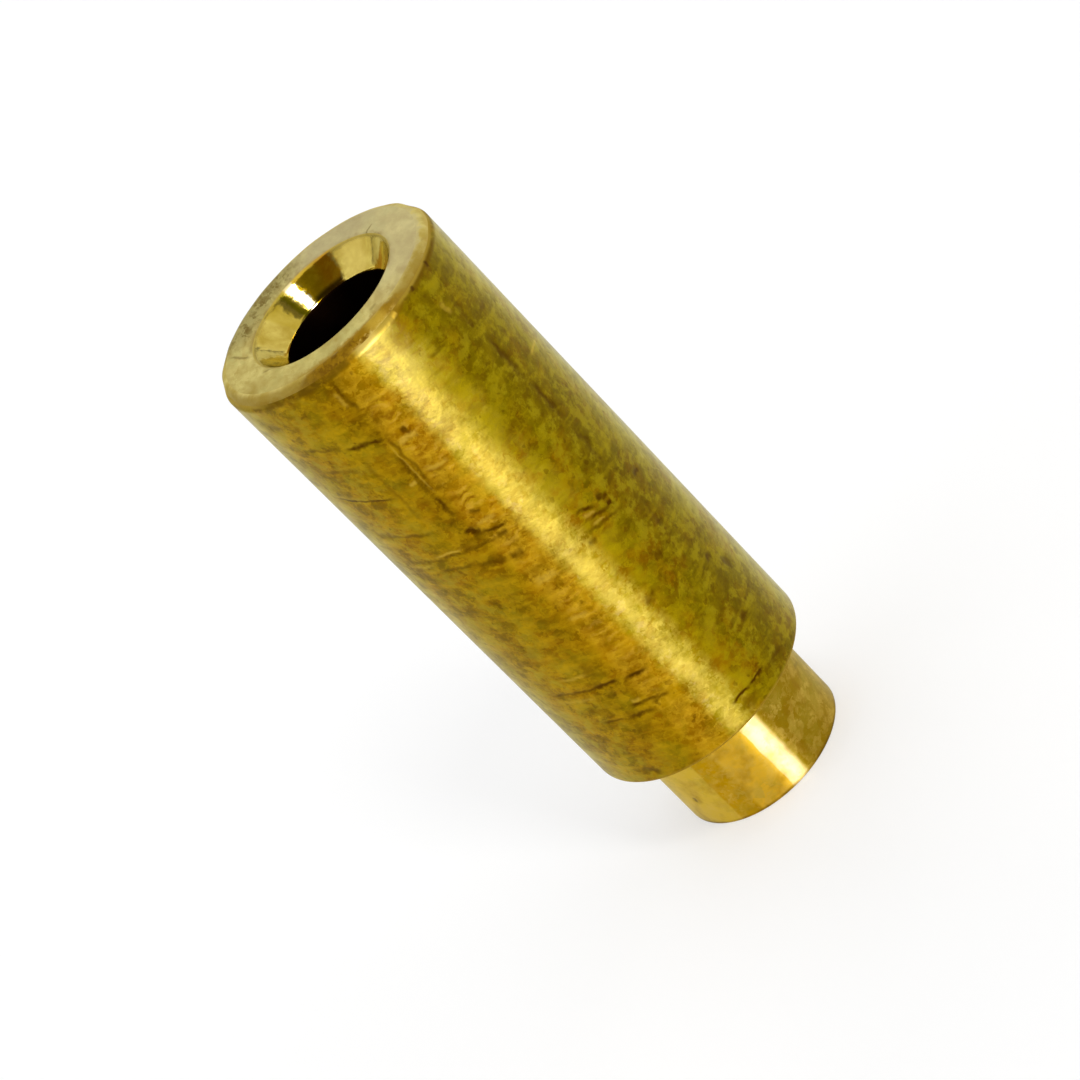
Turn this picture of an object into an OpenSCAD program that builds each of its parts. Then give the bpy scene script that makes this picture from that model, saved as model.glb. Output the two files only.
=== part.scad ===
// Swage spacer, turned from brass rod in one piece.
//
// The shank goes through a hole in a thin panel, and its rim is flared over on the far
// side. The body then holds a board or a second panel off by its own length, and a
// screw passes through the bore.
//
// The origin is the centre of the shoulder, where the panel sits. +Z runs up the body
// to the countersunk end, and the shank reaches below the shoulder.

/* [Body] */
// Outside diameter of the body
body_od = 6.35; // [5.2:0.05:12]
// Length of the body, from the shoulder to the countersunk end
body_len = 14.5; // [3:0.1:50]
// Radius of the rounded outer edge at the countersunk end
end_edge_r = 0.33; // [0.05:0.01:1]
// Radius of the rounded outer edge at the shoulder
shoulder_edge_r = 0.16; // [0.05:0.01:0.7]

/* [Shank] */
// Outside diameter of the shank, a little under the hole in its panel
shank_od = 4.68; // [3.6:0.02:5.9]
// Length of the shank below the shoulder
shank_len = 2.76; // [0.5:0.02:10]
// Radius of the rounded edge at the shank's tip
tip_edge_r = 0.06; // [0.02:0.01:0.5]

/* [Bore] */
// Diameter of the through bore
bore_d = 3; // [0.8:0.05:4]
// Diameter of the countersink at the end face
sink_d = 4.15; // [3.1:0.05:5.6]
// Angle across the countersink's cone
sink_angle = 82; // [60:1:120]
// Width of the chamfer where the bore leaves the shank
bore_chamfer = 0.15; // [0.05:0.01:0.6]

/* [Hidden] */

$fn = 96;
brass = [0.72, 0.60, 0.24];
// How far a cutter runs past the surface that it cuts
past = 0.5;
// Depth of the countersink, from its two diameters and its angle
sink_depth = (sink_d - bore_d) / 2 / tan(sink_angle / 2);

// Material outside the axis, before the bore and the edge rounds are cut
module blank_section() {
    square([body_od / 2, body_len]);
    translate([0, -shank_len])
        square([shank_od / 2, shank_len + body_len / 2]);
}

// The bore, its chamfer at the shank's tip and the countersink, as one cut
module bore_section() {
    polygon([
        [0, -shank_len - past],
        [bore_d / 2 + bore_chamfer + past, -shank_len - past],
        [bore_d / 2, -shank_len + bore_chamfer],
        [bore_d / 2, body_len - sink_depth],
        [sink_d / 2 + past * tan(sink_angle / 2), body_len + past],
        [0, body_len + past]
    ]);
}

// Cuts the square corner at the origin, of material to its left and below, to radius r
module round_off(r) {
    translate([-r, -r])
        difference() {
            square(r + past);
            circle(r);
        }
}

module spacer_section() {
    difference() {
        blank_section();
        bore_section();
        translate([body_od / 2, body_len])
            round_off(end_edge_r);
        translate([body_od / 2, 0])
            mirror([0, 1])
                round_off(shoulder_edge_r);
        translate([shank_od / 2, -shank_len])
            mirror([0, 1])
                round_off(tip_edge_r);
    }
}

module spacer() {
    color(brass)
        rotate_extrude()
            spacer_section();
}

spacer();
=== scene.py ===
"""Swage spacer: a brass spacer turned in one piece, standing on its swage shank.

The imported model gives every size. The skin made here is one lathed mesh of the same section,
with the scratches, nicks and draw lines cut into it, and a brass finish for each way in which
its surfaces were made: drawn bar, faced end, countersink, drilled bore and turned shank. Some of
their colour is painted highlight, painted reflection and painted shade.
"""

import math
from collections import namedtuple

import bpy
import numpy as np
from mathutils import Matrix, Vector


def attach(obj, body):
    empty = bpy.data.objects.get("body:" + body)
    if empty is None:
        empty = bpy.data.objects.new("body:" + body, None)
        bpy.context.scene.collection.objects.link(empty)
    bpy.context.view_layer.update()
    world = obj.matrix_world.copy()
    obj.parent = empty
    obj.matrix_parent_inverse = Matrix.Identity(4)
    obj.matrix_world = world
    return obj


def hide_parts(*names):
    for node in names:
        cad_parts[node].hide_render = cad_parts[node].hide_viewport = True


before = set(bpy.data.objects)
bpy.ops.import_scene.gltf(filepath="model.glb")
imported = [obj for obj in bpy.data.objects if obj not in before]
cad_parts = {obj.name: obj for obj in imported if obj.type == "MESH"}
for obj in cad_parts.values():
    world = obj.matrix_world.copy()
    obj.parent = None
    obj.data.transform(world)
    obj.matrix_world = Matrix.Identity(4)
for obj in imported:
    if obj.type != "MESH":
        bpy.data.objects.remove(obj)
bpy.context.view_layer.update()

MM = 0.001
NODE = "spacer"

# ---- Sizes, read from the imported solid, in millimetres ----

# Points closer together than this are at the same height or radius
TOUCH = 0.004
SHOULDER_Z = 0.0


def solid_points():
    """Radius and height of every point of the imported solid."""
    corners = np.array([v.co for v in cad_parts[NODE].data.vertices]) / MM
    return np.hypot(corners[:, 0], corners[:, 1]), corners[:, 2]


RADII, HEIGHTS = solid_points()


def ring_at(height):
    """Inner and outer radius of the flat ring that the solid has at this height."""
    found = RADII[np.abs(HEIGHTS - height) < TOUCH]
    return float(found.min()), float(found.max())


TOP_Z = float(HEIGHTS.max())
FOOT_Z = float(HEIGHTS.min())
BODY_R = float(RADII.max())
BORE_R = float(RADII.min())
MOUTH_R, END_FLAT_R = ring_at(TOP_Z)
SHANK_R, SEAT_FLAT_R = ring_at(SHOULDER_Z)
CHAMFER_R, FOOT_FLAT_R = ring_at(FOOT_Z)
SINK_Z = float(HEIGHTS[RADII < BORE_R + TOUCH].max())

END_EDGE = BODY_R - END_FLAT_R
SEAT_EDGE = BODY_R - SEAT_FLAT_R
TIP_EDGE = SHANK_R - FOOT_FLAT_R
CHAMFER = CHAMFER_R - BORE_R

# ---- Marks in the skin ----

# A mark is a straight scratch on the unrolled skin. turn is its middle in degrees round the
# axis from the front (-Y) towards +X, height its middle above the shoulder, lean its tilt
# from level in degrees (90 runs along the axis), and dark how much tarnish lies in it. On the
# end face, turn and height stand for x and y, with x written in degrees too.
Mark = namedtuple("Mark", "turn height length width lean depth dark")


def as_marks(*rows):
    """Marks from rows of their numbers."""
    return [Mark(*row) for row in rows]


FACE_MARKS = as_marks(
    (math.degrees(1.93), 0.98, 0.5, 0.07, 30, 0, 0.65),
    (math.degrees(-2.3), 0.86, 1.1, 0.07, -67, 0, 0.6),
    (math.degrees(-1.94), -0.86, 0.6, 0.06, -38, 0, 0.5),
    (math.degrees(0.75), -2.45, 0.3, 0.08, 20, 0, 0.35),
)
BODY_MARKS = as_marks(
    # Draw lines along the bar
    (42.5, 12.9, 1.1, 0.16, 90, 0.006, 0.45),
    (42.3, 11.2, 1.7, 0.15, 90, 0.012, 0.75),
    (42.6, 9.7, 1.6, 0.13, 90, 0.01, 0.7),
    (42.3, 8.1, 1.5, 0.16, 90, 0.008, 0.6),
    (41.8, 5.6, 1.9, 0.15, 90, 0.004, 0.35),
    (-23.9, 11.0, 1.7, 0.12, 90, 0.01, 0.65),
    (-24.3, 9.8, 0.9, 0.12, 90, 0.012, 0.85),
    (-21.0, 13.6, 1.3, 0.12, 90, 0.008, 0.7),
    (-20.8, 11.4, 2.1, 0.11, 90, 0.008, 0.6),
    (-36.6, 10.9, 2.8, 0.12, 90, 0.004, 0.35),
    # Handling scratches on the left flank
    (-50.0, 12.65, 1.3, 0.09, -12, 0.006, 0.5),
    (-30.5, 12.3, 1.2, 0.12, -12, 0.014, 1.0),
    (-54.5, 10.9, 2.1, 0.06, -14, 0.01, 1.0),
    (-51.0, 11.9, 1.4, 0.13, -9, 0.004, 0.45),
    (-52.0, 9.55, 1.9, 0.11, -12, 0.008, 0.65),
    (-62.0, 9.72, 0.7, 0.22, -6, 0.008, 0.6),
    (-63.0, 13.6, 0.5, 0.2, 0, 0.006, 0.55),
    (-52.0, 8.62, 1.6, 0.1, -8, 0.006, 0.45),
    (-30.0, 8.5, 2.2, 0.1, -7, 0.006, 0.6),
    (-42.0, 8.17, 1.3, 0.09, -8, 0.006, 0.55),
    (-63.5, 8.15, 0.5, 0.4, 0, 0.004, 0.45),
    (-15.6, 8.64, 0.85, 0.11, -20, 0.012, 0.9),
    (-14.3, 8.38, 0.36, 0.15, -28, 0.01, 0.85),
    (-26.5, 7.9, 0.9, 0.28, -17, 0.008, 0.75),
    (-15.8, 7.77, 0.45, 0.32, -8, 0.006, 0.8),
    (-26.5, 9.35, 0.45, 0.09, 18, 0.006, 0.55),
    (-23.2, 8.92, 0.3, 0.15, -66, 0.03, 1.2),
    (-22.2, 8.8, 0.36, 0.17, -14, 0.04, 1.2),
    (-13.0, 12.05, 0.2, 0.22, 0, 0.016, 0.8),
    (-15.8, 9.3, 0.35, 0.1, -24, 0.008, 0.7),
    # The three long scratches above the shoulder
    (-45.0, 3.47, 1.9, 0.085, -8, 0.012, 0.7),
    (-30.0, 3.35, 0.9, 0.12, -8, 0.018, 0.95),
    (-16.0, 3.16, 0.8, 0.11, -11, 0.018, 1.0),
    (-22.0, 2.38, 1.0, 0.11, -14, 0.014, 0.9),
    (-15.5, 2.24, 0.6, 0.09, -6, 0.012, 0.75),
    (-40.0, 2.28, 0.8, 0.08, -11, 0.01, 0.7),
    (-27.0, 2.12, 0.9, 0.11, -9, 0.014, 0.9),
    (-31.0, 3.02, 0.35, 0.2, 0, 0.006, 0.6),
    (-46.0, 0.4, 0.7, 0.22, -24, 0.016, 0.85),
    # Short ones on the right flank
    (18.5, 7.28, 0.7, 0.11, -24, 0.014, 1.0),
    (27.4, 7.17, 0.32, 0.15, -34, 0.014, 1.0),
    (29.2, 7.07, 0.26, 0.14, -12, 0.01, 0.95),
    (21.5, 6.66, 1.3, 0.1, -17, 0.012, 0.85),
    (23.0, 6.9, 0.8, 0.1, -19, 0.012, 0.9),
    (28.6, 6.84, 0.2, 0.14, -20, 0.012, 1.1),
    (11.0, 6.58, 0.32, 0.16, -13, 0.008, 0.8),
    (52.0, 12.35, 1.2, 0.17, -7, 0.006, 0.55),
    (41.5, 12.45, 0.25, 0.14, 0, 0.008, 0.8),
    (20.5, 12.83, 0.7, 0.11, -10, 0.006, 0.55),
    (52.0, 6.48, 0.4, 0.11, -12, 0.01, 0.9),
    (60.0, 6.65, 0.7, 0.1, -14, 0.006, 0.5),
    (41.5, 5.3, 0.35, 0.18, 0, 0.008, 0.8),
    (28.0, 4.9, 0.35, 0.17, -20, 0.006, 0.65),
    (48.0, 3.55, 0.35, 0.2, -30, 0.008, 0.8),
    (55.0, 2.92, 0.3, 0.28, 20, 0.01, 0.8),
    (38.5, 1.93, 0.35, 0.16, 20, 0.008, 0.75),
    (32.0, 2.1, 0.2, 0.22, 90, 0.004, 0.5),
    (12.0, 4.4, 0.5, 0.28, 0, 0.004, 0.65),
    (32.0, 14.24, 0.16, 0.1, 70, 0.006, 1.0),
    (47.0, 14.2, 0.22, 0.09, 60, 0.006, 1.0),
    # The split line just above the shoulder
    (11.0, 0.72, 0.8, 0.08, -3, 0.02, 1.1),
    (21.5, 0.69, 0.75, 0.07, -2, 0.02, 1.1),
    (24.0, 0.66, 0.26, 0.15, 10, 0.01, 1.0),
    (11.5, 0.42, 0.9, 0.3, -4, 0.004, 0.55),
    (36.0, 0.5, 0.9, 0.18, -4, 0.006, 0.55),
    # The back
    (128.0, 9.2, 2.2, 0.09, -9, 0.01, 0.65),
    (134.0, 8.7, 1.1, 0.08, -11, 0.008, 0.55),
    (146.0, 4.6, 1.4, 0.11, -13, 0.012, 0.75),
    (-141.0, 6.3, 2.6, 0.09, -11, 0.01, 0.65),
    (-150.0, 6.0, 1.3, 0.12, -9, 0.01, 0.7),
    (-118.0, 11.4, 1.2, 0.12, -14, 0.012, 0.75),
    (172.0, 10.6, 4.8, 0.13, 90, 0.008, 0.5),
    (-168.0, 2.3, 0.9, 0.11, -10, 0.014, 0.8),
    (104.0, 2.0, 0.25, 0.24, 0, 0.016, 0.85),
)
# Bright scuffs, which only colour the skin
BODY_SCUFFS = as_marks(
    (-22.6, 11.15, 2.0, 0.045, 90, 0, 0.35),
    (-27.0, 10.78, 0.26, 0.12, 0, 0, 0.6),
    (-23.5, 13.6, 0.6, 0.12, 90, 0, 0.35),
    (-40.0, 8.67, 0.9, 0.07, -4, 0, 0.6),
    (-58.0, 8.5, 1.0, 0.09, -4, 0, 0.35),
    (-13.5, 10.85, 0.7, 0.1, -10, 0, 0.45),
    (-14.0, 11.85, 0.6, 0.14, -4, 0, 0.45),
    (-15.0, 8.95, 0.6, 0.12, -6, 0, 0.4),
    (-14.0, 6.75, 0.7, 0.22, -8, 0, 0.45),
    (-16.0, 5.4, 0.6, 0.12, -14, 0, 0.4),
    (-40.0, 3.92, 0.9, 0.1, -4, 0, 0.35),
    (-48.0, 3.2, 1.2, 0.1, -8, 0, 0.3),
    (-24.5, 2.55, 0.3, 0.14, 0, 0, 0.45),
    (18.2, 7.12, 0.45, 0.09, -23, 0, 0.45),
    (19.2, 6.79, 0.45, 0.07, -16, 0, 0.4),
    (37.0, 13.25, 0.5, 0.12, 90, 0, 0.35),
    (62.0, 10.5, 0.9, 0.07, -6, 0, 0.45),
    (17.5, 14.24, 0.2, 0.1, 0, 0, 0.7),
)
SHANK_MARKS = as_marks(
    (-62.0, -1.75, 0.24, 0.12, 60, 0.014, 0.85),
    (64.0, -1.05, 0.5, 0.08, -10, 0.006, 0.4),
    (150.0, -1.4, 0.7, 0.08, -12, 0.008, 0.5),
)

# ---- The lathed skin ----

# Columns of the skin's grid round the axis
AROUND = 320
# The shank's last short step before the seat
RIM_BREAK = 0.03
# Radii by which wear has eased the countersink's mouth and the corner where it meets the bore
MOUTH_EASE = 0.22
THROAT_EASE = 0.22
# The rounded end edge belongs to the bar's skin up to this slope in degrees
EDGE_START = 27
# Its wear wanders in waves, each (waves round the part, start in radians), this deep in millimetres
EDGE_WAVES = ((3, 0.9), (5, 2.3), (8, 0.4), (13, 4.1), (21, 1.7))
EDGE_WANDER = 0.012
# The polishing lines on the bar are no exact rings: they fall this many degrees towards +X
BRUSH_LEAN = 11

# Materials of the skin, in the order of its material slots
BAR, EDGE, FACE, SINK, BORE, SHANK, SEAT = range(7)


def straight(start, end, steps, finish):
    """Stations of the section from start to just short of end, each (radius, height, finish).

    steps is how many rows of quads the stretch gets, here and in arc.
    """
    shares = np.arange(steps) / steps
    return [(start[0] + (end[0] - start[0]) * s, start[1] + (end[1] - start[1]) * s, finish)
            for s in shares]


def arc(centre, radius, first, last, steps, finish):
    """Stations round an arc of the section, from first to just short of last in degrees."""
    turns = np.radians(first + (last - first) * np.arange(steps) / steps)
    return [(centre[0] + radius * math.cos(t), centre[1] + radius * math.sin(t), finish) for t in turns]


def section():
    """The whole turned section as one closed loop, from the bore's chamfer outwards and up."""
    seat_round = (BODY_R - SEAT_EDGE, SHOULDER_Z + SEAT_EDGE)
    end_round = (BODY_R - END_EDGE, TOP_Z - END_EDGE)
    tip_round = (SHANK_R - TIP_EDGE, FOOT_Z + TIP_EDGE)
    # The cone's own slope, as the angle of its normal
    slope = 180 - math.degrees(math.atan2(MOUTH_R - BORE_R, TOP_Z - SINK_Z))
    mouth_run = MOUTH_EASE * math.tan(math.radians(slope - 90) / 2)
    throat_run = THROAT_EASE * math.tan(math.radians(180 - slope) / 2)
    mouth_round = (MOUTH_R + mouth_run, TOP_Z - MOUTH_EASE)
    throat_round = (BORE_R + THROAT_EASE, SINK_Z - throat_run)
    half_way = (90 + slope) / 2
    loop = straight((BORE_R, FOOT_Z + CHAMFER), (CHAMFER_R, FOOT_Z), 4, SEAT)
    loop += straight((CHAMFER_R, FOOT_Z), (FOOT_FLAT_R, FOOT_Z), 6, SEAT)
    loop += arc(tip_round, TIP_EDGE, -90, 0, 5, SHANK)
    loop += straight((SHANK_R, FOOT_Z + TIP_EDGE), (SHANK_R, SHOULDER_Z - RIM_BREAK), 30, SHANK)
    loop += straight((SHANK_R, SHOULDER_Z - RIM_BREAK), (SHANK_R, SHOULDER_Z), 1, SHANK)
    loop += straight((SHANK_R, SHOULDER_Z), (SEAT_FLAT_R, SHOULDER_Z), 4, SEAT)
    loop += arc(seat_round, SEAT_EDGE, -90, 0, 6, BAR)
    loop += straight((BODY_R, seat_round[1]), (BODY_R, end_round[1]), 200, BAR)
    loop += arc(end_round, END_EDGE, 0, EDGE_START, 3, BAR)
    loop += arc(end_round, END_EDGE, EDGE_START, 90, 8, EDGE)
    loop += straight((END_FLAT_R, TOP_Z), (mouth_round[0], TOP_Z), 9, FACE)
    loop += arc(mouth_round, MOUTH_EASE, 90, half_way, 3, FACE)
    loop += arc(mouth_round, MOUTH_EASE, half_way, slope, 3, SINK)
    mouth_end = arc(mouth_round, MOUTH_EASE, slope, slope + 1, 1, SINK)[0][:2]
    throat_start = arc(throat_round, THROAT_EASE, slope, slope + 1, 1, SINK)[0][:2]
    loop += straight(mouth_end, throat_start, 10, SINK)
    loop += arc(throat_round, THROAT_EASE, slope, (slope + 180) / 2, 3, SINK)
    loop += arc(throat_round, THROAT_EASE, (slope + 180) / 2, 180, 3, BORE)
    loop += straight((BORE_R, throat_round[1]), (BORE_R, FOOT_Z + CHAMFER), 6, BORE)
    return loop


def outward(stations):
    """Unit normals of the section at its stations, pointing out of the brass."""
    def unit(rows):
        return rows / np.linalg.norm(rows, axis=1)[:, None]
    along = unit(np.roll(stations, -1, axis=0) - stations) + unit(stations - np.roll(stations, 1, axis=0))
    return unit(np.stack([along[:, 1], -along[:, 0]], axis=1))


def soft_step(value):
    """0 to 1 with level ends, for value from 0 to 1."""
    value = np.clip(value, 0, 1)
    return value * value * (3 - 2 * value)


def cut_of(mark, radius, turns, heights):
    """How deep one mark cuts at each turn (radians) and height of a cylinder."""
    apart = (turns - math.radians(mark.turn) + math.pi) % (2 * math.pi) - math.pi
    level, rise = apart * radius, heights - mark.height
    lean = math.radians(mark.lean)
    along = level * math.cos(lean) + rise * math.sin(lean)
    across = rise * math.cos(lean) - level * math.sin(lean)
    ends = soft_step((mark.length / 2 - np.abs(along)) / (mark.length / 3))
    return mark.depth * ends * np.exp(-(across / (0.7 * mark.width)) ** 2)


def cuts(stations, finish, turns):
    """Depth taken off the true section at every station and turn, in millimetres."""
    height = stations[:, 1][:, None]
    depth = np.zeros((len(stations), len(turns)))
    for marks, radius, where in ((BODY_MARKS, BODY_R, BAR), (SHANK_MARKS, SHANK_R, SHANK)):
        on_skin = ((finish == where) & (np.abs(stations[:, 0] - radius) < TOUCH))[:, None]
        for mark in marks:
            depth += on_skin * cut_of(mark, radius, turns[None, :], height)
    wander = sum(np.sin(waves * turns + phase) for waves, phase in EDGE_WAVES)
    wander = EDGE_WANDER * (wander - wander.min())
    share = ((stations[:, 1] - TOP_Z + END_EDGE) / END_EDGE).clip(0, 1)
    on_edge = np.where(stations[:, 0] > END_FLAT_R + TOUCH, np.sin(np.pi * share), 0)
    return depth + on_edge[:, None] * wander[None, :]


def placed(name, data):
    """A new object in the scene."""
    made = bpy.data.objects.new(name, data)
    bpy.context.scene.collection.objects.link(made)
    return made


def lathe(name):
    """The skin as a closed grid of quads. Its UV map runs along the section, across the polishing lines."""
    loop = section()
    stations = np.array([(r, z) for r, z, _ in loop])
    finish = np.array([f for _, _, f in loop])
    turns = 2 * np.pi * np.arange(AROUND) / AROUND
    depth = cuts(stations, finish, turns)
    normal = outward(stations)
    radius = stations[:, :1] - depth * normal[:, :1]
    height = stations[:, 1:] - depth * normal[:, 1:]
    points = np.stack([radius * np.sin(turns), -radius * np.cos(turns), height], axis=2).reshape(-1, 3)
    rows = len(loop)
    row, column = np.meshgrid(np.arange(rows), np.arange(AROUND), indexing="ij")
    above, beside = (row + 1) % rows, (column + 1) % AROUND
    quads = np.stack([row * AROUND + column, row * AROUND + beside,
                      above * AROUND + beside, above * AROUND + column], axis=2).reshape(-1, 4)
    mesh = bpy.data.meshes.new(name)
    mesh.from_pydata((points * MM).tolist(), [], quads.tolist())
    mesh.polygons.foreach_set("material_index", np.repeat(finish, AROUND).astype(np.int32))
    mesh.shade_smooth()
    step = np.linalg.norm(np.roll(stations, -1, axis=0) - stations, axis=1)
    run = np.concatenate([[0], np.cumsum(step)])
    # On the bar, the map turns a little as it climbs, so that the polishing lines lean
    drift = np.where(finish == BAR, math.tan(math.radians(BRUSH_LEAN)) / (2 * math.pi * BODY_R), 0)[row]
    corners = [(run[row], column), (run[row], column + 1), (run[row + 1], column + 1), (run[row + 1], column)]
    uv = np.stack([np.stack([u, v / AROUND - drift * u], 2) for u, v in corners], axis=2)
    mesh.uv_layers.new(name="turned").data.foreach_set("uv", uv.reshape(-1))
    mesh.update()
    return placed(name, mesh)


# ---- Shader graphs ----


def colour(red, green, blue):
    """A colour written as it shows on a screen, 0 to 255, as the linear values that shaders take."""
    def linear(value):
        share = value / 255
        return share / 12.92 if share <= 0.04045 else ((share + 0.055) / 1.055) ** 2.4
    return (linear(red), linear(green), linear(blue), 1.0)


def node(tree, kind, inputs=None, **settings):
    """Adds a node. inputs maps a socket's name or number to a value or to another socket."""
    made = tree.nodes.new("ShaderNode" + kind)
    for key, value in settings.items():
        setattr(made, key, value)
    for key, value in (inputs or {}).items():
        if isinstance(value, bpy.types.NodeSocket):
            tree.links.new(value, made.inputs[key])
        else:
            made.inputs[key].default_value = value
    return made


def tree_of(*values):
    """The tree of the first socket among the values. The helpers below add their nodes to it."""
    return next(value.id_data for value in values if isinstance(value, bpy.types.NodeSocket))


def maths(operation, first, second=0.0, third=0.0, clamp=False):
    """The result of one Math node."""
    made = node(tree_of(first, second, third), "Math", {0: first, 1: second, 2: third},
                operation=operation, use_clamp=clamp)
    return made.outputs[0]


def plus(first, second):
    return maths("ADD", first, second)


def minus(first, second):
    return maths("SUBTRACT", first, second)


def larger(first, second):
    return maths("MAXIMUM", first, second)


def scaled(value, factor, base):
    """value times factor, on top of base."""
    return maths("MULTIPLY_ADD", value, factor, base)


def times(*values):
    """The product of several values."""
    product = values[0]
    for value in values[1:]:
        product = maths("MULTIPLY", product, value)
    return product


def span(value, low, high, to_low=0.0, to_high=1.0, smooth=True):
    """value taken from low..high to to_low..to_high, held at the ends."""
    made = node(tree_of(value), "MapRange", {"Value": value, "From Min": low, "From Max": high,
                                             "To Min": to_low, "To Max": to_high})
    made.interpolation_type = "SMOOTHSTEP" if smooth else "LINEAR"
    return made.outputs["Result"]


def between(value, low, high, soft, share=1.0):
    """share where value lies between low and high. Both ends fade over soft on either side."""
    return times(span(value, low - soft, low + soft, 0.0, share), span(value, high + soft, high - soft))


def outside(value, low, high, soft):
    """1 where value lies beyond low or high, with the same soft ends."""
    return minus(1.0, between(value, low, high, soft))


def blend(factor, first, second):
    """first turned into second by factor. Each is a socket, or red, green and blue from 0 to 255."""
    first, second = (colour(*tone) if isinstance(tone, tuple) else tone for tone in (first, second))
    return node(tree_of(factor), "Mix", {0: factor, 6: first, 7: second}, data_type="RGBA").outputs[2]


def bands(value, tone, *rows):
    """Lays bands over tone, each (from, to, softness, strength, colour)."""
    for low, high, soft, share, paint in rows:
        tone = blend(between(value, low, high, soft, share), tone, paint)
    return tone


def mottled(mottle, tone, *rows):
    """Lays patterns of the mottle over tone, each (pattern, from, to, strength, colour)."""
    for pattern, low, high, share, paint in rows:
        tone = blend(span(mottle[pattern], low, high, 0.0, share, smooth=False), tone, paint)
    return tone


def noise(place, scale, detail=3.0, roughness=0.55, distortion=0.0):
    """Cloudy noise, mostly from 0.3 to 0.7, with about scale clouds to a millimetre."""
    return node(tree_of(place), "TexNoise", {"Vector": place, "Scale": scale, "Detail": detail,
                                             "Roughness": roughness, "Distortion": distortion}).outputs["Fac"]


def moved(place, by):
    """The same place in another part of a noise, so that two noises don't match."""
    return node(tree_of(place), "VectorMath", {0: place, 1: by}, operation="ADD").outputs[0]


def group(name, inputs, outputs):
    """A new node group and its two end nodes. Position is a vector, every other socket a number."""
    tree = bpy.data.node_groups.new(name, "ShaderNodeTree")
    for way, labels in (("INPUT", inputs), ("OUTPUT", outputs)):
        for label in labels:
            kind = "NodeSocketVector" if label == "Position" else "NodeSocketFloat"
            tree.interface.new_socket(label, in_out=way, socket_type=kind)
    return tree, tree.nodes.new("NodeGroupInput").outputs, tree.nodes.new("NodeGroupOutput").inputs


def use(tree, made_group, **values):
    """Places a group; its inputs are named with underscores for spaces."""
    named = {key.replace("_", " "): value for key, value in values.items()}
    return node(tree, "Group", named, node_tree=made_group).outputs


def make_place():
    """Where a point of the part is, in millimetres: as x, y, z, and unrolled round the axis."""
    tree, _, out = group("place", (), ("Position", "Turn", "Height", "Radius"))
    own = node(tree, "TexCoord").outputs["Object"]
    place = node(tree, "VectorMath", {0: own, "Scale": 1 / MM}, operation="SCALE").outputs[0]
    x, y, z = node(tree, "SeparateXYZ", {0: place}).outputs
    turn = maths("DEGREES", maths("ARCTAN2", x, times(y, -1.0)))
    radius = maths("SQRT", plus(times(x, x), times(y, y)))
    for socket, value in zip(out, (place, turn, z, radius)):
        tree.links.new(value, socket)
    return tree


def make_grain(place):
    """Marks left round the part by the die and the lathe: broken level lines that lean a little."""
    tree, given, out = group("turned grain", ("Across", "Along", "Lean", "Detail"), ("Value",))
    where = use(tree, place)["Position"]
    x, y, z = node(tree, "SeparateXYZ", {0: where}).outputs
    leaning = plus(z, times(x, given["Lean"]))
    stretched = node(tree, "CombineXYZ", {0: times(x, given["Along"]),
                                          1: times(y, given["Along"]),
                                          2: times(leaning, given["Across"])}).outputs[0]
    value = noise(stretched, 1.0, given["Detail"], 0.6)
    tree.links.new(value, out["Value"])
    return tree


def cell_colours(tree, place, scale):
    """Three chance values for each cell of a broken pattern."""
    cells = node(tree, "TexVoronoi", {"Vector": place, "Scale": scale}).outputs["Color"]
    return node(tree, "SeparateColor", {0: cells}).outputs


def make_mottle():
    """Patchy tarnish, each pattern from about -1 to 1.

    Blotches are soft, Flecks have clear edges, Grit is fine, and Hue says which way the colour leans.
    """
    tree, given, out = group("mottle", ("Position", "Blotch", "Fleck"),
                             ("Blotches", "Flecks", "Grit", "Hue"))
    place, fleck = given["Position"], given["Fleck"]
    blotch = noise(place, given["Blotch"], 2.5, 0.6, 0.2)
    tree.links.new(span(blotch, 0.30, 0.70, -1.0, 1.0, smooth=False), out["Blotches"])
    elsewhere = moved(place, (7.3, 2.1, 5.9))
    grit = noise(elsewhere, fleck, 2.5, 0.6, 0.2)
    grit = span(grit, 0.30, 0.70, -1.0, 1.0, smooth=False)
    tree.links.new(grit, out["Grit"])
    shift = node(tree, "TexNoise", {"Vector": place, "Scale": 6.0, "Detail": 2.0}).outputs["Color"]
    bent = node(tree, "VectorMath", {0: shift, 1: (0.4, 0.4, 0.4), 2: place},
                operation="MULTIPLY_ADD").outputs[0]
    wide = cell_colours(tree, bent, fleck)
    small = cell_colours(tree, bent, times(fleck, 2.1))
    cells = scaled(wide[0], 0.8, scaled(small[0], 0.7, -0.75))
    tree.links.new(scaled(grit, 0.45, cells), out["Flecks"])
    hue = plus(wide[1], scaled(small[1], 0.6, -0.8))
    drift = span(noise(elsewhere, 1.0, 2.0), 0.35, 0.65, -0.8, 0.8)
    tree.links.new(plus(hue, drift), out["Hue"])
    return tree


# A share too small to see
UNSEEN = 0.00001


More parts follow.
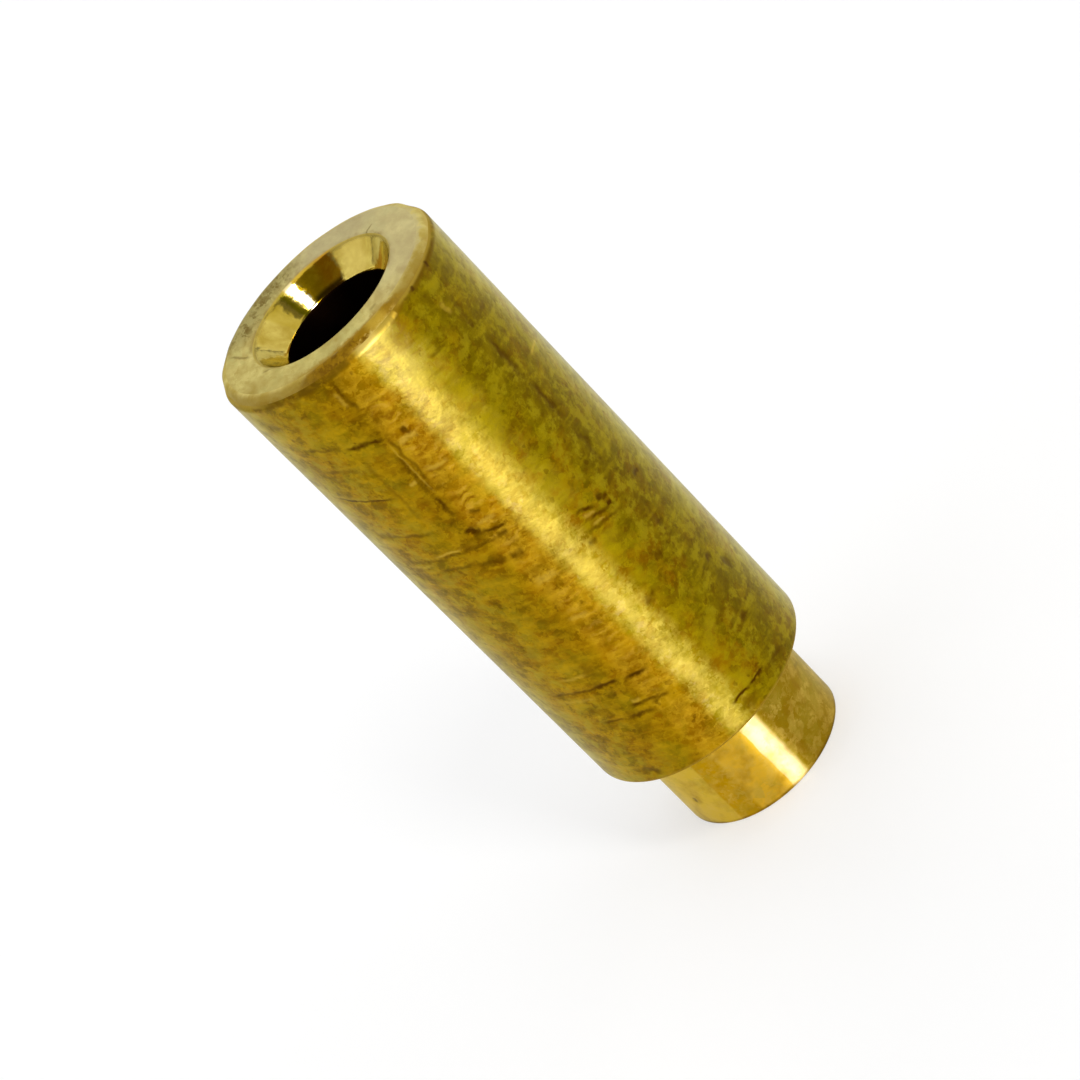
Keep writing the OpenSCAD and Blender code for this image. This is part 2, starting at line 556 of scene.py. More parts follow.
def make_scratch():
    """Adds one straight mark on the unrolled skin to those before it, ragged at its sides.

    Before feeds every step, by an unseen share, so that the renderer works the marks out one
    after another. All at once, they overrun its memory.
    """
    tree, given, out = group("scratch", ("Before", "Turn", "Height", "Ragged", "Skin", "At Turn", "At Height",
                                         "Length", "Width", "Lean", "Dark"), ("Marks",))
    waiting = times(given["Before"], UNSEEN)
    turn = plus(given["Turn"], waiting)
    apart = maths("WRAP", minus(turn, given["At Turn"]), 180.0, -180.0)
    level = times(apart, given["Skin"], math.radians(1))
    rise = minus(plus(given["Height"], waiting), given["At Height"])
    cosine, sine = maths("COSINE", given["Lean"]), maths("SINE", given["Lean"])
    along = scaled(level, cosine, times(rise, sine))
    across = minus(times(rise, cosine), times(level, sine))
    across = scaled(given["Ragged"], times(given["Width"], 0.4), across)
    half = times(given["Length"], 0.5)
    ends = maths("DIVIDE", minus(half, maths("ABSOLUTE", along)), half)
    side = maths("DIVIDE", maths("ABSOLUTE", across), given["Width"])
    mask = times(span(side, 0.9, 0.05), span(ends, 0.0, 0.55), given["Dark"])
    tree.links.new(larger(given["Before"], mask), out["Marks"])
    return tree


PLACE = make_place()
GRAIN = make_grain(PLACE)
MOTTLE = make_mottle()
SCRATCH = make_scratch()


def marks_mask(tree, marks, radius, here, ragged):
    """How strong the strongest mark is at each point of a skin."""
    total = 0.0
    for mark in marks:
        total = use(tree, SCRATCH, Before=total, Turn=here["Turn"], Height=here["Height"], Ragged=ragged,
                    Skin=radius, At_Turn=mark.turn, At_Height=mark.height, Length=mark.length,
                    Width=mark.width, Lean=math.radians(mark.lean), Dark=mark.dark)["Marks"]
    return total


# ---- Finishes ----

# Brass stays a little yellow where it is seen at a glancing angle; in the bore a dark brown tint is part of
# its painted shade
GLANCING_TINT = (1.0, 1.0, 0.74, 1.0)
BORE_SHADE_TINT = (0.50, 0.36, 0.14, 1.0)


def empty_material(name):
    """A new material and its empty node tree."""
    material = bpy.data.materials.new(name)
    material.use_nodes = True
    material.node_tree.nodes.clear()
    return material, material.node_tree


def metal(name, roughness, anisotropy=0.0, metallic=1.0, glancing=GLANCING_TINT):
    """A new material with a metal shader. Its highlights stretch along the turned section."""
    material, tree = empty_material(name)
    shader = node(tree, "BsdfPrincipled", {"Metallic": metallic, "Roughness": roughness,
                                           "Anisotropic": anisotropy, "Specular IOR Level": 0.1,
                                           "Specular Tint": glancing})
    if anisotropy:
        tangent = node(tree, "Tangent", direction_type="UV_MAP", uv_map="turned")
        tree.links.new(tangent.outputs[0], shader.inputs["Tangent"])
    node(tree, "OutputMaterial", {"Surface": shader.outputs[0]})
    return material, tree, shader.inputs


def relief(tree, sockets, height, depth):
    """Bumps the surface by height, whose full range is depth millimetres."""
    bump = node(tree, "Bump", {"Strength": 1.0, "Distance": depth * MM, "Height": height})
    tree.links.new(bump.outputs[0], sockets["Normal"])


# In all the finishes, turns are in degrees from the front towards +X, and heights, radii and
# depths in millimetres. These are the colours of the bar: its tarnish and scratches, and the highlight
# and glancing sheen painted on it.
GOLD_BROWN = (149, 111, 0)
DARK_BROWN = (118, 76, 0)
AMBER = (170, 122, 6)
AMBER_FLECK = (204, 160, 30)
OLIVE_HUE = (130, 114, 0)
BROWN_HUE = (142, 92, 0)
OLIVE = (104, 84, 0)
STALE_OLIVE = (136, 114, 2)
SHADE = (106, 74, 0)
WARM_FLECK = (186, 146, 12)
GREEN_FLECK = (166, 143, 6)
HIGHLIGHT_FLECK = (206, 182, 74)
RIM_HIGHLIGHT = (192, 168, 86)
SIDE_SHEEN_FLECK = (186, 170, 76)
SCRATCH_BROWN = (78, 48, 0)
# Height from which the bar's skin turns over into the end edge
TURNS_OVER = TOP_Z - 0.38


def worn_line_and_highlight(here, tone):
    """The line along the bar where handling has worn the tarnish thin, painted paler as the highlight along
    it. It fades towards +X.
    """
    place, height = here["Position"], here["Height"]
    wobble = noise(place, 3.2, 4.0, 0.7)
    turn = scaled(wobble, 13.0, minus(here["Turn"], 6.5))
    near_end = span(height, 5.0, 10.0)
    # Painted highlight: its soft tail towards +X
    tail = times(between(turn, 8, 20, 4), scaled(near_end, 0.70, 0.30))
    tone = blend(tail, tone, blend(near_end, (157, 132, 16), (180, 156, 34)))
    # Painted highlight: the worn line's paler tone
    worn = blend(near_end, (158, 136, 16), (164, 142, 38))
    tone = blend(between(turn, -5.5, 9.0, 2.5), tone, worn)
    # Painted highlight: a brighter patch beside the rim
    beside_rim = times(between(turn, 4, 15, 3), span(height, 12.2, 13.6))
    tone = blend(beside_rim, tone, (218, 196, 92))
    # Painted highlight: the pale core of the line, with whiter facets in it
    bare = blend(span(height, 10.0, 14.0), (192, 166, 62), (184, 160, 88))
    tone = blend(times(span(turn, -4.5, -0.5), span(turn, 7.5, 1.5)), tone, bare)
    highlight_facets = times(span(noise(place, 2.8, 4.0, 0.65), 0.53, 0.62, 0.0, 0.5),
                  between(here["Turn"], -4.5, 3, 1.5))
    return blend(highlight_facets, tone, (216, 190, 112))


def bar_tarnish_and_highlight(here):
    """The bar's colours round the part: golden brown tarnish, a dark brown band, amber, a worn line with its
    painted highlight, and olive.
    """
    place, height = here["Position"], here["Height"]
    warp = noise(place, 1.3, 3.0, 0.6)
    turn = scaled(warp, 16.0, minus(here["Turn"], 8.0))
    tone = bands(turn, GOLD_BROWN, (14, 150, 5, 1.0, STALE_OLIVE), (18, 56, 5, 1.0, OLIVE))
    dark = times(between(turn, -33, -20, 4), span(height, 2.0, 13.0, 0.2, 0.95))
    tone = blend(dark, tone, DARK_BROWN)
    green = noise(moved(place, (11, 4, 8)), 0.7, 3.0, 0.65)
    green = times(between(here["Turn"], -175, -24, 4), span(green, 0.44, 0.58, 0.0, 0.65))
    tone = blend(green, tone, (136, 118, 8))
    rusty = times(between(turn, 45, 60, 4), between(height, 9.0, 12.6, 0.6),
                  span(noise(place, 1.2, 3.0, 0.65), 0.42, 0.56, 0.0, 0.8))
    tone = blend(rusty, tone, (138, 98, 0))
    amber = blend(span(height, 12.6, 13.6), AMBER, (150, 106, 0))
    amber = blend(span(height, 7.5, 2.5), amber, (174, 132, 4))
    tone = blend(between(turn, -21, -5, 2), tone, amber)
    return worn_line_and_highlight(here, tone)


def chatter(here, tone):
    """Short level chatter marks, one above the other, dark and pale in turn, beside the worn line with its
    painted highlight.
    """
    place, turn, height = here["Position"], here["Turn"], here["Height"]
    wave = scaled(noise(place, 2.0), 15.0, times(height, 20.0))
    wave = maths("SINE", scaled(turn, 0.12, wave))
    near_end = span(height, 7.0, 9.5, 0.45, 1.0)
    where = times(between(turn, -18, -7, 2.5), between(height, 2.5, 13.2, 0.5))
    patchy = span(noise(moved(place, (3, 9, 1)), 2.6), 0.40, 0.62)
    strength = times(where, patchy, near_end)
    dark = times(span(wave, 0.1, 1.0, 0.0, 0.75), strength)
    pale = times(span(wave, -0.2, -1.0, 0.0, 0.6), strength)
    return blend(pale, blend(dark, tone, (118, 72, 0)), (200, 156, 50))


def rim_line(here):
    """The broken dark line where the bar's skin turns over into the end edge."""
    turn = here["Turn"]
    broken = noise(here["Position"], 1.9, 3.0, 0.6)
    wobble = scaled(broken, 0.16, minus(here["Height"], 0.08))
    return times(span(wobble, TOP_Z - 0.40, TOP_Z - 0.27), outside(turn, -5, 15, 3),
                 span(broken, 0.38, 0.56, 0.15, 0.85), span(turn, -62, -48, 0.15, 1.0))


def bar_shades(place, mottle, lines, strength, tone):
    """The bar's dark blotches and draw lines, and its slow change between dark and pale lengths."""
    broad = noise(moved(place, (2, 13, 6)), 0.8, 2.0, 0.6)
    blotches = span(mottle["Blotches"], -0.6, 1.0, 0.0, 0.68, smooth=False)
    for dark in (blotches, span(lines, 0.50, 0.68, 0.0, 0.5), span(broad, 0.46, 0.66, 0.0, 0.7)):
        tone = blend(times(dark, strength), tone, SHADE)
    pale = times(span(broad, 0.46, 0.30, 0.0, 0.45), strength)
    return blend(pale, tone, (166, 140, 18))


def bar_fleck(turn, worn_and_highlit):
    """The colour of the bar's bright flecks, which follows the tarnish round the part. They are paler in the
    painted highlight of the worn line, and towards the sides as painted glancing sheen.
    """
    fleck = blend(span(turn, -4, 8), WARM_FLECK, GREEN_FLECK)
    fleck = blend(between(turn, -20, -7, 3), fleck, AMBER_FLECK)
    # Painted highlight: pale flecks along the worn line
    fleck = blend(worn_and_highlit, fleck, HIGHLIGHT_FLECK)
    # Painted glancing sheen: paler flecks towards the sides
    return blend(outside(turn, -70, 62, 10), fleck, SIDE_SHEEN_FLECK)


def bar_flecks(turn, mottle, strength, fleck, tone):
    """Patches that lean towards olive or brown, with the bright flecks over them."""
    greener = times(span(mottle["Hue"], 0.0, 1.0, 0.0, 0.45, smooth=False),
                    scaled(outside(turn, -36, -6, 3), 0.7, 0.3))
    tone = blend(greener, tone, OLIVE_HUE)
    browner = times(span(mottle["Hue"], 0.0, -1.0, 0.0, 0.5, smooth=False), strength,
                    span(turn, -64, -40, 0.4, 1.0))
    tone = blend(browner, tone, BROWN_HUE)
    return mottled(mottle, tone, ("Flecks", -0.5, 1.0, 0.70, fleck))


def flank_patches(here, tone):
    """The darker part of the olive flank, and pale and dark patches on both flanks."""
    turn = here["Turn"]
    tone = blend(between(turn, 32, 60, 8, 0.48), tone, (94, 74, 0))
    flanks = larger(between(turn, -92, -40, 16), between(turn, 24, 94, 8))
    patches = noise(moved(here["Position"], (9, 3, 17)), 2.3, 4.0, 0.7)
    right = span(turn, -10, 10)
    pale = times(flanks, span(patches, 0.48, 0.62, 0.0, 0.52))
    tone = blend(pale, tone, blend(right, (158, 140, 34), (160, 142, 18)))
    dark = times(flanks, span(patches, 0.49, 0.36), scaled(right, -0.52, 0.75))
    return blend(dark, tone, blend(right, (106, 80, 2), (90, 72, 0)))


def bar_ends(here, under, tone):
    """The bar's ends: a broken dark line and worn pale rims at the top, a painted highlight where the worn
    line reaches the rim, and a lighter rim at the shoulder, painted light against the shade there.

    under is 1 just above the shoulder.
    """
    turn, height = here["Turn"], here["Height"]
    tone = blend(rim_line(here), tone, (112, 82, 0))
    flank_rim = times(outside(turn, -56, 24, 8), span(height, TOP_Z - 0.26, TOP_Z - 0.19))
    tone = blend(times(flank_rim, 0.85), tone, (172, 144, 50))
    # Painted highlight: a paler rim where the worn line's highlight reaches the top
    rim_highlight_zone = times(span(height, TURNS_OVER, TOP_Z - 0.30), between(turn, -4, 17, 3))
    rim_highlight_tone = blend(span(turn, 3, 9), RIM_HIGHLIGHT, (152, 128, 46))
    tone = blend(times(rim_highlight_zone, 0.9), tone, rim_highlight_tone)
    # Painted light: lighter just above the shoulder, against the shade under the bar's lower edge
    return blend(times(under, 0.8), tone, (168, 134, 26))


def bar_marks(tree, here, tone):
    """The bar's bright scuffs and dark scratches, ragged at their sides and uneven along their length."""
    place = here["Position"]
    ragged = span(noise(place, 3.0, 2.5, 0.6), 0.25, 0.75, -1.0, 1.0)
    broken = span(noise(place, 2.6, 2.0, 0.6), 0.36, 0.56, 0.7, 1.0)
    tone = blend(marks_mask(tree, BODY_SCUFFS, BODY_R, here, ragged), tone, (200, 164, 56))
    marks = marks_mask(tree, BODY_MARKS, BODY_R, here, ragged)
    return blend(maths("MULTIPLY", marks, broken, clamp=True), tone, SCRATCH_BROWN)


def drawn_bar():
    """The body's skin: drawn bar, amber on one flank and tarnished olive on the other, with a highlight
    painted along a worn line between them and painted glancing sheen towards the sides.
    """
    material, tree, into = metal("drawn_bar", roughness=0.30, anisotropy=0.62)
    here = use(tree, PLACE)
    place, turn, height = here["Position"], here["Turn"], here["Height"]
    worn_and_highlit = between(turn, -5, 10, 4)
    # Other patterns keep half their strength along the worn line with its painted highlight
    strength = scaled(worn_and_highlit, -0.5, 1.0)
    mottle = use(tree, MOTTLE, Position=place, Blotch=1.4, Fleck=3.8)
    lines = use(tree, GRAIN, Across=4.2, Along=1.1, Lean=0.2, Detail=2.5)["Value"]
    fleck = bar_fleck(turn, worn_and_highlit)
    tone = bar_shades(place, mottle, lines, strength, bar_tarnish_and_highlight(here))
    tone = bar_flecks(turn, mottle, strength, fleck, tone)
    tone = flank_patches(here, tone)
    tone = blend(span(lines, 0.48, 0.32, 0.0, 0.3), tone, fleck)
    specks = span(noise(moved(place, (5, 5, 2)), 3.6, 2.0, 0.6), 0.64, 0.72, 0.0, 0.45)
    tone = blend(times(specks, minus(1.0, worn_and_highlit)), tone, SCRATCH_BROWN)
    under = span(height, 0.16, 0.04)
    tone = bar_ends(here, under, chatter(here, tone))
    tree.links.new(bar_marks(tree, here, tone), into["Base Color"])
    # Both ends are matte, like the worn edge that follows on the upper one
    metallic = span(height, TURNS_OVER, TOP_Z - 0.22, 1.0, 0.55)
    tree.links.new(scaled(under, -1.0, metallic), into["Metallic"])
    rough = span(height, TOP_Z - 1.4 * END_EDGE, TOP_Z - 0.6 * END_EDGE, 0.32, 0.75)
    rough = scaled(mottle["Blotches"], 0.04, scaled(under, 0.5, rough))
    tree.links.new(rough, into["Roughness"])
    fine = use(tree, GRAIN, Across=9.0, Along=4.0, Lean=0.19, Detail=2.0)["Value"]
    relief(tree, into, scaled(mottle["Grit"], 0.25, times(fine, 0.6)), depth=0.006)
    return material


def behind(here):
    """Degrees round the axis from the back instead of the front."""
    return maths("WRAP", minus(here["Turn"], 180.0), 180.0, -180.0)


def edge_brown(turn, inward, mottle):
    """What is left of the bar's brown on the edge: paler at the sides, with a thin painted highlight line in
    front.
    """
    brown = blend(span(mottle["Flecks"], -0.6, 0.8), (146, 110, 8), (112, 78, 0))
    brown = blend(between(turn, -64, 56, 12), (186, 162, 84), brown)
    # Painted highlight: paler in front, where the highlight of the worn line reaches the edge
    brown = blend(between(turn, 6, 16, 3, 0.7), brown, (190, 160, 56))
    bright = times(between(turn, -4, 20, 4), span(inward, 0.12, 0.06))
    return blend(bright, brown, RIM_HIGHLIGHT)


def worn_edge():
    """The rounded outer edge at the countersunk end, where the bar's brown gives way to pale metal."""
    material, tree, into = metal("worn_edge", roughness=0.75, metallic=0.35)
    here = use(tree, PLACE)
    turn = here["Turn"]
    mottle = use(tree, MOTTLE, Position=here["Position"], Blotch=1.5, Fleck=4.5)
    front = between(turn, -30, 22, 10)
    inward = scaled(mottle["Flecks"], 0.045, minus(BODY_R, here["Radius"]))
    starts = scaled(front, 0.20, 0.03)
    # How much pale metal shows: none out to where it starts, and all of it a little further in
    share = maths("DIVIDE", minus(inward, starts), scaled(front, 0.16, 0.09))
    pale = blend(span(mottle["Blotches"], -0.8, 0.8), (200, 184, 110), (174, 152, 70))
    tone = blend(span(share, 0.0, 1.0), edge_brown(turn, inward, mottle), pale)
    dulled = times(between(turn, -90, 54, 10), span(inward, 0.34, 0.14), minus(0.75, times(front, 0.75)))
    tone = blend(dulled, tone, (150, 124, 44))
    ragged = scaled(mottle["Flecks"], 0.05, inward)
    greyer = times(between(turn, 44, 150, 20), span(ragged, 0.14, 0.28, 0.0, 0.6))
    tone = blend(greyer, tone, (182, 170, 126))
    chipped = noise(moved(here["Position"], (4, 2, 9)), 1.6, 3.0, 0.7)
    notches = times(between(turn, 20, 58, 6), span(inward, 0.16, 0.10), span(chipped, 0.56, 0.64, 0.0, 0.7))
    tone = blend(notches, tone, (96, 58, 4))
    tone = blend(between(behind(here), 0, 62, 10, 0.8), tone, (140, 128, 88))
    tree.links.new(tone, into["Base Color"])
    relief(tree, into, mottle["Grit"], depth=0.006)
    return material


def rings(tree, here, closeness):
    """Faint rings round the axis, left by a facing cut."""
    return node(tree, "TexNoise", {"W": times(here["Radius"], closeness), "Detail": 2.0},
                noise_dimensions="1D").outputs["Fac"]


def face_tone(tree, here, mottle):
    """The end face's pale straw: browner at the front edge, greyer on the right, darker near the mouth at the
    back, and with painted shade along the mouth's edge.
    """
    turn, back, flecks = here["Turn"], behind(here), mottle["Flecks"]
    blotches = span(mottle["Blotches"], -1.0, 1.0, smooth=False)
    tone = blend(blotches, (214, 201, 129), (158, 136, 65))
    tone = mottled(mottle, tone, ("Flecks", -0.3, 1.0, 0.6, (160, 136, 62)),
                   ("Hue", 0.0, 1.2, 0.5, (176, 170, 104)))
    grey = larger(between(turn, 30, 150, 25), between(back, -56, 8, 14))
    tone = blend(times(grey, 0.5), tone, (184, 173, 136))
    tone = blend(between(back, -56, -10, 10, 0.4), tone, (158, 146, 112))
    edge = scaled(flecks, 0.06, here["Radius"])
    brown = times(between(turn, -36, 16, 12), span(edge, END_FLAT_R - 0.22, END_FLAT_R))
    tone = blend(brown, tone, (150, 116, 22))
    tone = blend(between(turn, -100, -14, 10, 0.35), tone, (160, 142, 66))
    dull = times(between(back, -4, 56, 12), span(edge, MOUTH_R, MOUTH_R + 0.5, 0.4, 0.95))
    dull_tone = blend(span(flecks, -0.5, 0.8), (158, 146, 88), (106, 84, 26))
    tone = blend(dull, tone, dull_tone)
    # Painted shade: a darker line along the mouth's edge
    mouth = times(between(edge, MOUTH_R - 0.02, MOUTH_R + 0.06, 0.05),
                  span(mottle["Blotches"], -0.5, 0.5, 0.1, 0.55))
    tone = blend(mouth, tone, (134, 104, 34))
    x, y, _ = node(tree, "SeparateXYZ", {0: here["Position"]}).outputs
    flat = {"Turn": maths("DEGREES", x), "Height": y}
    return blend(marks_mask(tree, FACE_MARKS, 1.0, flat, mottle["Grit"]), tone, (104, 84, 26))


def faced_end():
    """The flat end face: matte pale straw, with faint rings from the facing cut."""
    material, tree, into = metal("faced_end", roughness=0.72, metallic=0.5)
    here = use(tree, PLACE)
    # Its mottle is drawn out from front to back
    drawn_out = node(tree, "VectorMath", {0: here["Position"], 1: (1.0, 0.55, 1.0)}, operation="MULTIPLY")
    mottle = use(tree, MOTTLE, Position=drawn_out.outputs[0], Blotch=1.9, Fleck=4.6)
    tree.links.new(face_tone(tree, here, mottle), into["Base Color"])
    relief(tree, into, scaled(rings(tree, here, 14.0), 0.5, mottle["Grit"]), depth=0.006)
    return material


def sink_tone_and_reflections(here, mottle):
    """The countersink's colours: straw, with a painted highlight streak at the back, lighter flanks and a
    brown side as painted reflections, a green-brown band, painted shade at the throat, and where its mouth
    is.
    """
    radius, flecks = here["Radius"], mottle["Flecks"]
    blotches = span(mottle["Blotches"], -1.0, 1.0, smooth=False)
    tone = blend(blotches, (212, 192, 98), (170, 144, 50))
    tone = mottled(mottle, tone, ("Flecks", -0.4, 1.0, 0.5, (162, 134, 38)))
    back = scaled(flecks, 2.5, behind(here))
    # Painted reflection: lighter flanks
    bright = larger(between(back, 66, 92, 6), between(back, -58, -33, 5))
    tone = blend(times(bright, 0.3), tone, (240, 218, 124))
    # Painted highlight: the pale streak at the back, between a darker band and a green-brown band
    tone = bands(back, tone, (21, 38, 3, 0.6, (172, 146, 34)), (4.5, 13, 1, 1.0, (236, 224, 180)),
                 (15, 21, 1.5, 1.0, (136, 122, 12)))
    # Painted reflection: the brown side, with its flecks and blotches
    brown = blend(span(back, -22, -4), (172, 114, 2), (172, 138, 2))
    brown = blend(span(flecks, -0.4, 0.8, 0.0, 0.35), brown, (212, 172, 34))
    brown = blend(span(mottle["Blotches"], 0.0, 0.9, 0.0, 0.3), brown, (120, 72, 2))
    tone = blend(between(back, -28, 4, 2), tone, brown)
    mouth = span(scaled(flecks, 0.03, radius), MOUTH_R - 0.10, MOUTH_R)
    tone = blend(times(mouth, 0.6), tone, (170, 146, 66))
    # Painted shade: dark at the throat on the brown side
    throat = times(span(radius, BORE_R + 0.14, BORE_R + 0.05), between(back, -29, 3, 3))
    return blend(times(throat, 0.85), tone, (30, 14, 2)), mouth


def polished_sink():
    """The countersink, left bright by its cutter and dulled again at its mouth."""
    material, tree, into = metal("polished_sink", roughness=0.13, anisotropy=0.2)
    here = use(tree, PLACE)
    mottle = use(tree, MOTTLE, Position=here["Position"], Blotch=1.6, Fleck=4.0)
    tone, mouth = sink_tone_and_reflections(here, mottle)
    tree.links.new(tone, into["Base Color"])
    dulled = scaled(mottle["Blotches"], 0.03, scaled(mouth, 0.35, 0.13))
    tree.links.new(dulled, into["Roughness"])
    relief(tree, into, mottle["Blotches"], depth=0.0035)
    return material


def drilled_bore():
    """The bore, painted nearly black as the shade inside it."""
    material, tree, into = metal("drilled_bore", roughness=0.45, anisotropy=0.3, glancing=BORE_SHADE_TINT)
    place = use(tree, PLACE)["Position"]
    # Painted shade: the bore is nearly black all over
    tone = blend(span(noise(place, 2.0), 0.4, 0.7), (18, 7, 2), (8, 4, 1))
    tree.links.new(tone, into["Base Color"])
    relief(tree, into, use(tree, GRAIN, Across=7.0, Along=1.0, Detail=4.0)["Value"], depth=0.006)
    return material


def shank_tarnish_and_reflections(here):
    """Straight-edged bands round the shank, tarnish painted as its reflections: straw, brown, amber, a
    painted highlight and olive brown.
    """
    turn = scaled(noise(here["Position"], 1.6), 3.0, minus(here["Turn"], 1.5))
    olive_brown = blend(span(turn, 40, 60), (146, 116, 10), (156, 124, 14))
    # Painted reflections: bands of tarnish colour round the shank
    tone = bands(turn, (178, 158, 58), (-130, -40, 2, 1.0, (206, 172, 52)),
                 (-41, -24, 1, 1.0, (188, 144, 0)), (-25, -1, 2, 1.0, (220, 174, 44)),
                 (13, 130, 2, 1.0, olive_brown))
    # Painted highlight: the bright band
    bright = times(span(turn, -1.6, -0.6), span(turn, 13.5, 10.0))
    return blend(bright, tone, (226, 200, 140))


def turned_shank():
    """The swage shank, turned last and the brightest of the outside."""
    material, tree, into = metal("turned_shank", roughness=0.34, anisotropy=0.9)
    here = use(tree, PLACE)
    mottle = use(tree, MOTTLE, Position=here["Position"], Blotch=1.8, Fleck=3.4)
    tone = mottled(mottle, shank_tarnish_and_reflections(here), ("Blotches", -0.2, 1.0, 0.55, (140, 100, 8)),
                   ("Hue", 0.0, 1.2, 0.45, (160, 140, 40)), ("Flecks", -0.3, 1.0, 0.6, (208, 174, 76)))
    rim = times(span(here["Height"], FOOT_Z + 0.12, FOOT_Z + 0.05),
                span(mottle["Blotches"], -0.6, 0.6, 0.3, 0.9))
    tone = blend(rim, tone, (120, 92, 12))
    marks = marks_mask(tree, SHANK_MARKS, SHANK_R, here, mottle["Grit"])
    tree.links.new(blend(marks, tone, (104, 74, 6)), into["Base Color"])
    relief(tree, into, use(tree, GRAIN, Across=18.0, Along=0.6, Detail=4.0)["Value"], depth=0.002)
    return material


def turned_seat():
    """The shoulder and the foot: plain turned faces that the panel hides."""
    material, tree, into = metal("turned_seat", roughness=0.38, anisotropy=0.5)
    here = use(tree, PLACE)
    patchy = span(noise(here["Position"], 1.4), 0.4, 0.7)
    tree.links.new(blend(patchy, (190, 160, 62), (158, 128, 30)), into["Base Color"])
    relief(tree, into, rings(tree, here, 12.0), depth=0.006)
    return material


# ---- Stage, lights and camera ----

# The floor, in metres: its radius, the radius of the curve by which it turns up, and its wall's height
FLOOR_REACH = 3.0
TURN_UP = 0.4
SWEEP_RISE = 0.9
FLOOR_SIDES = 96
FLOOR_GREY = 0.97
# Share of plain white that the camera and the brass see in the floor, over its own lit grey
FLOOR_WHITE = 0.55
WORLD_LEVEL = 0.25


def floor_material():
    """Pale matte floor. Part of its white is its own, so that the part's shadow stays faint."""
    material, tree = empty_material("pale_floor")
    matte = node(tree, "BsdfDiffuse", {"Color": (FLOOR_GREY, FLOOR_GREY, FLOOR_GREY, 1)})
    white = node(tree, "Emission", {"Color": (1, 1, 1, 1), "Strength": 1.0})
    path = node(tree, "LightPath").outputs
    seen = plus(path["Is Camera Ray"], path["Is Glossy Ray"])
    seen = maths("ADD", seen, path["Is Transmission Ray"], clamp=True)
    both = node(tree, "MixShader", {0: times(seen, FLOOR_WHITE), 1: matte.outputs[0], 2: white.outputs[0]})
    node(tree, "OutputMaterial", {"Surface": both.outputs[0]})
    return material


def floor():
    """A round pale floor that turns up into a low wall all round."""
    flat = FLOOR_REACH - TURN_UP
    outline = [(0.0, 0.0), (0.05, 0.0), (0.3, 0.0), (1.0, 0.0), (flat, 0.0)]
    outline += [(flat + TURN_UP * math.sin(t), TURN_UP - TURN_UP * math.cos(t))
                for t in np.linspace(0, math.pi / 2, 9)[1:]]
    outline += [(FLOOR_REACH, SWEEP_RISE)]
    count = FLOOR_SIDES
    round_it = [2 * math.pi * k / count for k in range(count)]
    points = [(0.0, 0.0, 0.0)]
    faces = []
    for radius, height in outline[1:]:
        points += [(radius * math.cos(t), radius * math.sin(t), height) for t in round_it]
    for k in range(count):
        faces.append((0, 1 + k, 1 + (k + 1) % count))
        for ring in range(len(outline) - 2):
            low = 1 + ring * count
            faces.append((low + k, low + count + k, low + count + (k + 1) % count, low + (k + 1) % count))
    mesh = bpy.data.meshes.new("floor")
    mesh.from_pydata(points, [], faces)
    mesh.shade_smooth()
    mesh.materials.append(floor_material())
    made = placed("floor", mesh)
    made.location.z = FOOT_Z * MM


def direction(turn, rise):
    """Unit vector from the part, turn degrees from the front towards +X and rise above level."""
    turn, rise = math.radians(turn), math.radians(rise)
    return Vector((math.sin(turn) * math.cos(rise), -math.cos(turn) * math.cos(rise), math.sin(rise)))


# How far the lamps stand from the part, in metres
LAMP_AWAY = 2.0
# Soft lamps: name, turn, rise, width and height in degrees, and glow
LAMPS = (
    ("glint_strip", 9.0, 13, 18, 20, 36.0),
    ("top_strip", 25.0, 53, 8.0, 20, 16.0),
    ("left_fill", -95, 32, 68, 36, 0.8),
    ("right_fill", 92, 34, 72, 42, 0.85),
    ("back_fill", 180, 40, 42, 36, 1.7),
    ("overhead", 180, 84, 44, 40, 1.6),
)


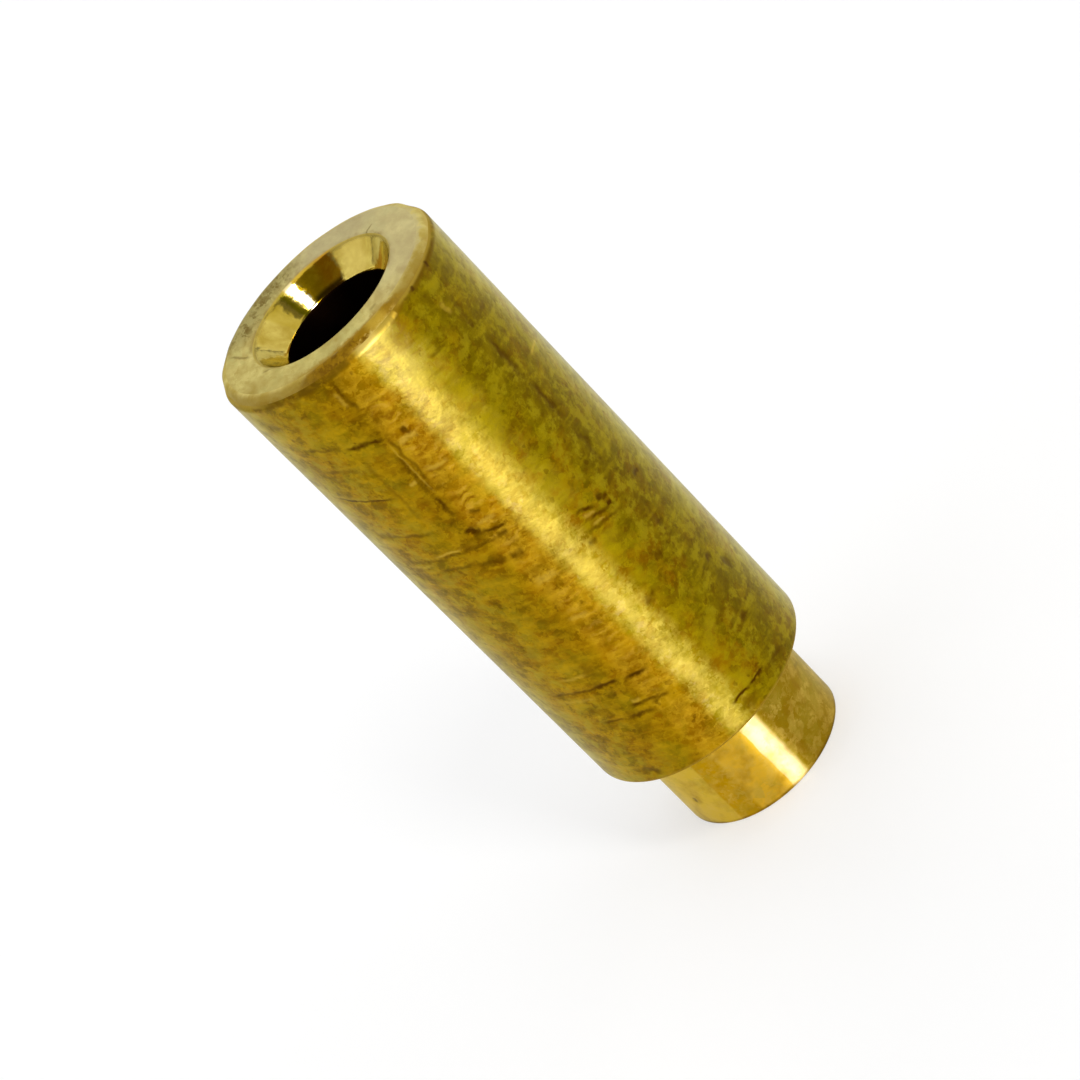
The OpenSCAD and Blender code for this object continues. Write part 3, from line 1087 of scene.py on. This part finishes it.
def softbox(name, turn, rise, wide, tall, glow):
    """A soft rectangular lamp that faces the part. It covers wide by tall degrees; glow 1 is white."""
    width = 2 * LAMP_AWAY * math.tan(math.radians(wide / 2))
    height = 2 * LAMP_AWAY * math.tan(math.radians(tall / 2))
    lamp = bpy.data.lights.new(name, "AREA")
    lamp.shape = "RECTANGLE"
    lamp.size, lamp.size_y = width, height
    lamp.energy = glow * math.pi * width * height
    made = placed(name, lamp)
    aim = direction(turn, rise)
    made.location = aim * LAMP_AWAY
    made.rotation_euler = aim.to_track_quat("Z", "Y").to_euler()
    return made


def lights():
    """The studio's lamps and its even pale surroundings. The glint strip shows only in bright metal."""
    lamps = {name: softbox(name, *aim_and_size) for name, *aim_and_size in LAMPS}
    lamps["glint_strip"].visible_diffuse = False
    world = bpy.data.worlds.new("studio")
    world.use_nodes = True
    background = world.node_tree.nodes["Background"].inputs
    background["Color"].default_value = (1, 1, 1, 1)
    background["Strength"].default_value = WORLD_LEVEL
    bpy.context.scene.world = world


# Where the camera stands and the point it looks at
CAMERA_PLACE = Vector((0.0, -82.24, 49.19)) * MM
CAMERA_AIM = Vector((-0.272, 0.0, 5.95)) * MM
# Roll in degrees, focal length and sensor width in millimetres
CAMERA_ROLL = 44.51
CAMERA_LENS = 127.6
CAMERA_SENSOR = 36.0


def camera():
    """A long lens, looking down on the countersunk end, rolled so that the part leans to the left."""
    lens = bpy.data.cameras.new("camera")
    lens.sensor_width = CAMERA_SENSOR
    lens.lens = CAMERA_LENS
    lens.clip_start = 0.001
    lens.clip_end = 20
    made = placed("camera", lens)
    look = (CAMERA_AIM - CAMERA_PLACE).to_track_quat("-Z", "Y").to_matrix().to_4x4()
    roll = Matrix.Rotation(math.radians(-CAMERA_ROLL), 4, "Z")
    made.matrix_world = Matrix.Translation(CAMERA_PLACE) @ look @ roll
    bpy.context.scene.camera = made


# ---- The scene ----

skin = lathe("spacer_skin")
for finish in (drawn_bar, worn_edge, faced_end, polished_sink, drilled_bore, turned_shank, turned_seat):
    skin.data.materials.append(finish())
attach(skin, "root")
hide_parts(NODE)

floor()
lights()
camera()
bpy.context.scene.view_settings.view_transform = "Standard"
